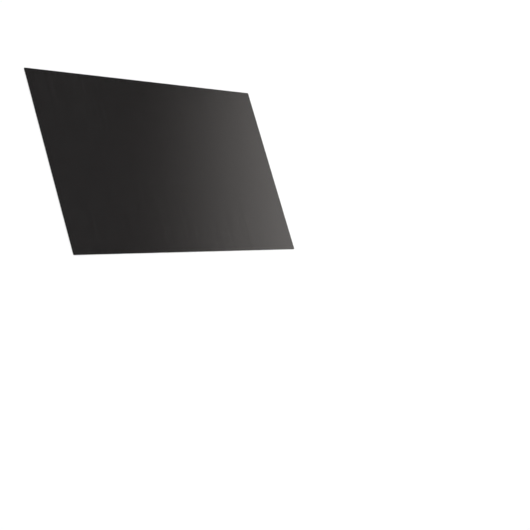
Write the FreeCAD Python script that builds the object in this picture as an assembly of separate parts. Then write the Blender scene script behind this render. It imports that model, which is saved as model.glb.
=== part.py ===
import FreeCAD, Part

import os

# Privacy filter for a laptop display: one flat rectangle cut from tinted louvre film.
# It lies on its back face, the one that goes against the display.
# X runs along the width, Y along the height towards the top edge, and Z up through the thickness.
# The origin is the middle of the back face. Lengths are in millimetres.

# Driving dimensions: a filter for a 14.0 inch display of 16:9 proportions
SHEET_WIDTH = 310.0
SHEET_HEIGHT = 174.5
SHEET_THICKNESS = 0.5
# The cutting die's small corner radius, and the rounding it leaves along both rims
CORNER_RADIUS = 1.0
RIM_RADIUS = 0.1


def sheet_outline():
    """A flat face of the sheet's size, with rounded corners, centred on the origin."""
    # The rectangle between the four corners' centres, grown by the corner radius
    inner_width = SHEET_WIDTH - 2 * CORNER_RADIUS
    inner_height = SHEET_HEIGHT - 2 * CORNER_RADIUS
    first_corner = FreeCAD.Vector(-inner_width / 2, -inner_height / 2, 0)
    inner_rectangle = Part.makePlane(inner_width, inner_height, first_corner)
    return inner_rectangle.makeOffset2D(CORNER_RADIUS)


def rim_edges(sheet):
    """The edges that outline the front and back faces, which are the two largest."""
    faces_by_size = sorted(sheet.Faces, key=lambda face: face.Area)
    front_and_back = faces_by_size[-2:]
    return [edge for face in front_and_back for edge in face.Edges]


def filter_sheet():
    """The whole filter: a flat sheet with rounded corners and rounded rims."""
    through_thickness = FreeCAD.Vector(0, 0, SHEET_THICKNESS)
    cut_sheet = sheet_outline().extrude(through_thickness)
    return cut_sheet.makeFillet(RIM_RADIUS, rim_edges(cut_sheet))


def main():
    os.makedirs("parts", exist_ok=True)
    filter_sheet().exportStep("parts/filter_sheet.step")


main()
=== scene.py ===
from math import radians

import bpy
from mathutils import Matrix, Quaternion, Vector


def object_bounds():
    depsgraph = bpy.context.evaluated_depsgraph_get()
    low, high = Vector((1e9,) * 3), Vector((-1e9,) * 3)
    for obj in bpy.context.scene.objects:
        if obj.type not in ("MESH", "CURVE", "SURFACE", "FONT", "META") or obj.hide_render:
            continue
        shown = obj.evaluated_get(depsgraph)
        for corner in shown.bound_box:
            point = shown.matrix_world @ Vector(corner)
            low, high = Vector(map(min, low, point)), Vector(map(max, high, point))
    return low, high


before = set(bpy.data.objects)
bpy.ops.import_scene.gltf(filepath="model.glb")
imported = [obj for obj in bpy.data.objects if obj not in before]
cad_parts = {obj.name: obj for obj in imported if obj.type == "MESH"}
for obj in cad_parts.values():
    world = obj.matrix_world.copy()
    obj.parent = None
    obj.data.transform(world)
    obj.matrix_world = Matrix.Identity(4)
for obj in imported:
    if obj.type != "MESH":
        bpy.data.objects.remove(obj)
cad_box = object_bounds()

# A privacy filter: one dark, see-through sheet of louvre film, lying face up on a white floor.
# Lengths are in metres and angles in degrees. Compass angles are counted from +X towards +Y.

# The camera's place, from the middle of the sheet's back face
CAMERA_DISTANCE = 1.310
CAMERA_COMPASS = -159.5
CAMERA_ELEVATION = 38.15
# The point beside the sheet that is in the picture's middle, and the camera's turn about its own axis
AIM_X = 0.100
AIM_Y = -0.103
CAMERA_ROLL = 65.5
# The lens, in millimetres, and the picture, in pixels
FOCAL_LENGTH = 93.0
SENSOR_WIDTH = 36.0
PICTURE_SIDE = 530

# The floor lies a hair below the sheet, so that the two faces don't share one plane
FLOOR_SIDE = 40.0
FLOOR_GAP = 0.0001
FLOOR_WHITE = (0.97, 0.97, 0.97, 1.0)

# A ring of wide soft lamps, which light the sheet and aren't mirrored in it
LAMP_COUNT = 3
LAMP_FIRST_COMPASS = 80.0
LAMP_ELEVATION = 62.0
LAMP_STRENGTH = 0.93
LAMP_SPREAD = 34.0

# The room that the sheet mirrors: white walls low down all round, a dim ceiling, and soft bright patches
# between them. A height is a direction's Z here, from 0 at the horizon to 1 straight overhead.
ROOM_WHITE = (1.0, 1.0, 1.0, 1.0)
CEILING_LIGHT = 0.138
WALL_LIGHT = 1.0
WALL_HEIGHT = 0.14
WALL_FADED_OUT = 0.22
PATCH_LIGHT = 1.0
PATCH_FADED_OUT = 0.95
PATCH_COUNT = 4
PATCH_FIRST_COMPASS = -22.5
PATCH_FALL_OFF = 2

# A graded light card that the sheet mirrors to the camera. It stands beyond the sheet by its distance, and
# its mirror image reaches over these columns and rows of the picture, in pixels.
CARD_DISTANCE = 1.2
CARD_FIRST_COLUMN = 120
CARD_LAST_COLUMN = 392
CARD_FIRST_ROW = 20
CARD_LAST_ROW = 370
# Its light grows across its width by the power of its grading, and fades out past a share of that width.
# It also fades out over a share of its height at both end rows.
CARD_WARM_WHITE = (1.0, 0.955, 0.92, 1.0)
CARD_STRENGTH = 4.55
CARD_GRADING = 1.8
CARD_FADES_FROM = 0.745
CARD_ROW_FADE = 0.18

# The film's own colour and gloss
SMOKE_COLOUR = (0.0030, 0.0018, 0.0018, 1.0)
FILM_IOR = 1.55
# How much of the view each face shuts off, from the front and from the side. The side starts at a slant of
# the view, which is 0 straight from the front and 1 along the face.
SHUT_FROM_FRONT = 0.40
SHUT_FROM_SIDE = 0.78
SIDE_STARTS_AT = 0.33
# Its roughness, and how much that and the see-through change over the streaks along its louvres
FILM_ROUGHNESS = 0.18
ROUGHNESS_CHANGE = 0.06
SHUT_CHANGE = 0.04
STREAK_WIDTH = 0.002
STREAK_LENGTH = 0.25
STREAK_DETAIL = 3
# The fine grain of its hard coat
GRAIN_SIZE = 0.0003
GRAIN_DEPTH = 0.0000008
GRAIN_DETAIL = 1
# Its cut edge, which is matte and lets nothing through. The Z of the normal tells it from the faces.
EDGE_COLOUR = (0.060, 0.057, 0.055, 1.0)
EDGE_ROUGHNESS = 0.5
FACE_NORMAL_Z = 0.9
EDGE_NORMAL_Z = 0.4


def point_at(compass, elevation, distance):
    """The point at that distance from the origin, in that direction."""
    direction = Vector((distance, 0, 0))
    direction.rotate(Quaternion((0, -1, 0), radians(elevation)))
    direction.rotate(Quaternion((0, 0, 1), radians(compass)))
    return direction


def facing(place, target):
    """The turn that makes a lamp or a camera at place look at target."""
    return (target - place).to_track_quat("-Z", "Y")


def add_camera():
    place = point_at(CAMERA_COMPASS, CAMERA_ELEVATION, CAMERA_DISTANCE)
    level_turn = facing(place, Vector((AIM_X, AIM_Y, 0)))
    roll = Quaternion((0, 0, 1), radians(CAMERA_ROLL))
    data = bpy.data.cameras.new("camera")
    data.lens = FOCAL_LENGTH
    data.sensor_width = SENSOR_WIDTH
    camera = bpy.data.objects.new("camera", data)
    camera.matrix_world = Matrix.LocRotScale(place, level_turn @ roll, None)
    bpy.context.collection.objects.link(camera)
    bpy.context.scene.camera = camera
    return camera


def empty_tree(owner):
    """The node tree of a material or world, with nothing in it."""
    owner.use_nodes = True
    owner.node_tree.nodes.clear()
    return owner.node_tree


def add_node(tree, kind, values=None, **settings):
    """A new node. values are the plain numbers and colours of its inputs, by name."""
    node = tree.nodes.new(kind)
    for name, setting in settings.items():
        setattr(node, name, setting)
    for name, value in (values or {}).items():
        node.inputs[name].default_value = value
    return node


def math_node(tree, operation, *sources):
    """The result of an operation on up to three sockets or numbers."""
    node = add_node(tree, "ShaderNodeMath", operation=operation)
    for socket, source in zip(node.inputs, sources):
        if isinstance(source, bpy.types.NodeSocket):
            tree.links.new(source, socket)
        else:
            socket.default_value = source
    return node.outputs["Value"]


def spread(tree, source, low, high, new_low, new_high, interpolation="LINEAR"):
    """A socket's range from low to high, laid out from new_low to new_high."""
    limits = {"From Min": low, "From Max": high, "To Min": new_low, "To Max": new_high}
    node = add_node(tree, "ShaderNodeMapRange", limits, interpolation_type=interpolation)
    tree.links.new(source, node.inputs["Value"])
    return node.outputs["Result"]


def split(tree, vector):
    """The X, Y and Z sockets of a vector socket."""
    node = add_node(tree, "ShaderNodeSeparateXYZ")
    tree.links.new(vector, node.inputs["Vector"])
    return node.outputs


def noise(tree, place, scale, detail):
    """Noise from 0 to 1 over a vector socket."""
    node = add_node(tree, "ShaderNodeTexNoise", {"Scale": scale, "Detail": detail})
    tree.links.new(place, node.inputs["Vector"])
    return node.outputs["Fac"]


def rectangle(name, left, right, low, high, material):
    """A flat rectangle in its own XY plane, which is part of the stage."""
    mesh = bpy.data.meshes.new(name)
    corners = [(left, low, 0), (right, low, 0), (right, high, 0), (left, high, 0)]
    mesh.from_pydata(corners, [], [(0, 1, 2, 3)])
    mesh.materials.append(material)
    stage_piece = bpy.data.objects.new(name, mesh)
    bpy.context.collection.objects.link(stage_piece)
    return stage_piece


def add_floor():
    material = bpy.data.materials.new("white_floor")
    tree = empty_tree(material)
    output = add_node(tree, "ShaderNodeOutputMaterial")
    matte = add_node(tree, "ShaderNodeBsdfDiffuse", {"Color": FLOOR_WHITE})
    tree.links.new(matte.outputs["BSDF"], output.inputs["Surface"])
    half = FLOOR_SIDE / 2
    floor = rectangle("floor", -half, half, -half, half, material)
    floor.location.z = cad_box[0].z - FLOOR_GAP


def add_lamps():
    for number in range(LAMP_COUNT):
        data = bpy.data.lights.new(f"soft_lamp_{number}", "SUN")
        data.energy = LAMP_STRENGTH
        data.angle = radians(LAMP_SPREAD)
        lamp = bpy.data.objects.new(data.name, data)
        compass = LAMP_FIRST_COMPASS + number * 360 / LAMP_COUNT
        # A sun lamp's distance changes nothing, so the camera's will do
        place = point_at(compass, LAMP_ELEVATION, CAMERA_DISTANCE)
        lamp.matrix_world = Matrix.LocRotScale(place, facing(place, Vector()), None)
        lamp.visible_glossy = False
        bpy.context.collection.objects.link(lamp)


def add_room_light():
    world = bpy.data.worlds.new("room")
    bpy.context.scene.world = world
    tree = empty_tree(world)
    output = add_node(tree, "ShaderNodeOutputWorld")
    background = add_node(tree, "ShaderNodeBackground", {"Color": ROOM_WHITE})
    direction = split(tree, add_node(tree, "ShaderNodeTexCoord").outputs["Generated"])
    height = direction["Z"]

    # The patches are the crests of a wave that runs round the room
    compass = math_node(tree, "ARCTAN2", direction["Y"], direction["X"])
    from_first_patch = math_node(tree, "SUBTRACT", compass, radians(PATCH_FIRST_COMPASS))
    phase = math_node(tree, "MULTIPLY", from_first_patch, PATCH_COUNT)
    wave = spread(tree, math_node(tree, "COSINE", phase), -1, 1, 0, 1)
    patch = math_node(tree, "POWER", wave, PATCH_FALL_OFF)
    patch_fade = spread(tree, height, 0, PATCH_FADED_OUT, PATCH_LIGHT, 0)

    patches = math_node(tree, "MULTIPLY_ADD", patch, patch_fade, CEILING_LIGHT)
    walls = spread(tree, height, WALL_HEIGHT, WALL_FADED_OUT, WALL_LIGHT, 0)
    tree.links.new(math_node(tree, "MAXIMUM", walls, patches), background.inputs["Strength"])
    tree.links.new(background.outputs["Background"], output.inputs["Surface"])


def card_material():
    material = bpy.data.materials.new("light_card")
    tree = empty_tree(material)
    output = add_node(tree, "ShaderNodeOutputMaterial")
    glow = add_node(tree, "ShaderNodeEmission", {"Color": CARD_WARM_WHITE})
    place = split(tree, add_node(tree, "ShaderNodeTexCoord").outputs["Generated"])
    grading = math_node(tree, "POWER", place["X"], CARD_GRADING)
    far_fade = spread(tree, place["X"], CARD_FADES_FROM, 1, CARD_STRENGTH, 0)
    from_top = math_node(tree, "SUBTRACT", 1, place["Y"])
    from_nearer_end = math_node(tree, "MINIMUM", place["Y"], from_top)
    row_fade = spread(tree, from_nearer_end, 0, CARD_ROW_FADE, 0, 1)
    column_light = math_node(tree, "MULTIPLY", grading, far_fade)
    tree.links.new(math_node(tree, "MULTIPLY", column_light, row_fade), glow.inputs["Strength"])
    tree.links.new(glow.outputs["Emission"], output.inputs["Surface"])
    return material


def add_light_card(camera):
    """Stands where the sheet mirrors it: squarely before the camera's mirror image below the sheet."""
    depth = CAMERA_DISTANCE + CARD_DISTANCE
    pixel = depth * SENSOR_WIDTH / FOCAL_LENGTH / PICTURE_SIDE
    middle = PICTURE_SIDE / 2
    left = (CARD_FIRST_COLUMN - middle) * pixel
    right = (CARD_LAST_COLUMN - middle) * pixel
    low = (middle - CARD_LAST_ROW) * pixel
    high = (middle - CARD_FIRST_ROW) * pixel
    card = rectangle("light_card", left, right, low, high, card_material())
    mirrored_camera = Matrix.Diagonal((1, 1, -1, 1)) @ camera.matrix_world
    card.matrix_world = mirrored_camera @ Matrix.Translation((0, 0, -depth))
    card.visible_camera = False
    card.visible_shadow = False


def edge_share(tree, normal):
    """1 on the cut edge, where the surface turns away from the two faces, and 0 on the faces."""
    up_or_down = math_node(tree, "ABSOLUTE", split(tree, normal)["Z"])
    return spread(tree, up_or_down, FACE_NORMAL_Z, EDGE_NORMAL_Z, 0, 1)


def louvre_streaks(tree, place):
    """Noise that is long along the sheet's height and narrow along its width."""
    stretch = add_node(tree, "ShaderNodeMapping", {"Scale": (1 / STREAK_WIDTH, 1 / STREAK_LENGTH, 1)})
    tree.links.new(place, stretch.inputs["Vector"])
    return noise(tree, stretch.outputs["Vector"], 1, STREAK_DETAIL)


def film_material():
    """Smoke-tinted film: clearer from the front than from the side, with faint streaks along its louvres."""
    material = bpy.data.materials.new("smoke_film")
    tree = empty_tree(material)
    output = add_node(tree, "ShaderNodeOutputMaterial")
    film = add_node(tree, "ShaderNodeBsdfPrincipled", {"IOR": FILM_IOR})
    surface = add_node(tree, "ShaderNodeTexCoord")
    edge = edge_share(tree, surface.outputs["Normal"])
    streak = louvre_streaks(tree, surface.outputs["Object"])

    colour = add_node(tree, "ShaderNodeMix", {"A": SMOKE_COLOUR, "B": EDGE_COLOUR}, data_type="RGBA")
    tree.links.new(edge, colour.inputs["Factor"])
    tree.links.new(colour.outputs["Result"], film.inputs["Base Color"])

    slant = add_node(tree, "ShaderNodeLayerWeight").outputs["Facing"]
    shut = spread(tree, slant, 0, SIDE_STARTS_AT, SHUT_FROM_FRONT, SHUT_FROM_SIDE, "SMOOTHSTEP")
    shut_change = spread(tree, streak, 0, 1, -SHUT_CHANGE, SHUT_CHANGE)
    streaky_shut = math_node(tree, "ADD", shut, shut_change)
    tree.links.new(math_node(tree, "MAXIMUM", streaky_shut, edge), film.inputs["Alpha"])

    smooth = FILM_ROUGHNESS - ROUGHNESS_CHANGE
    rough = FILM_ROUGHNESS + ROUGHNESS_CHANGE
    face_roughness = spread(tree, streak, 0, 1, smooth, rough)
    edge_roughness = math_node(tree, "MULTIPLY", edge, EDGE_ROUGHNESS)
    tree.links.new(math_node(tree, "MAXIMUM", face_roughness, edge_roughness), film.inputs["Roughness"])

    grain = noise(tree, surface.outputs["Object"], 1 / GRAIN_SIZE, GRAIN_DETAIL)
    bump = add_node(tree, "ShaderNodeBump", {"Distance": GRAIN_DEPTH})
    tree.links.new(grain, bump.inputs["Height"])
    tree.links.new(bump.outputs["Normal"], film.inputs["Normal"])

    tree.links.new(film.outputs["BSDF"], output.inputs["Surface"])
    return material


bpy.context.scene.view_settings.view_transform = "Standard"
camera = add_camera()
add_floor()
add_lamps()
add_room_light()
add_light_card(camera)
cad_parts["filter_sheet"].material_slots[0].material = film_material()
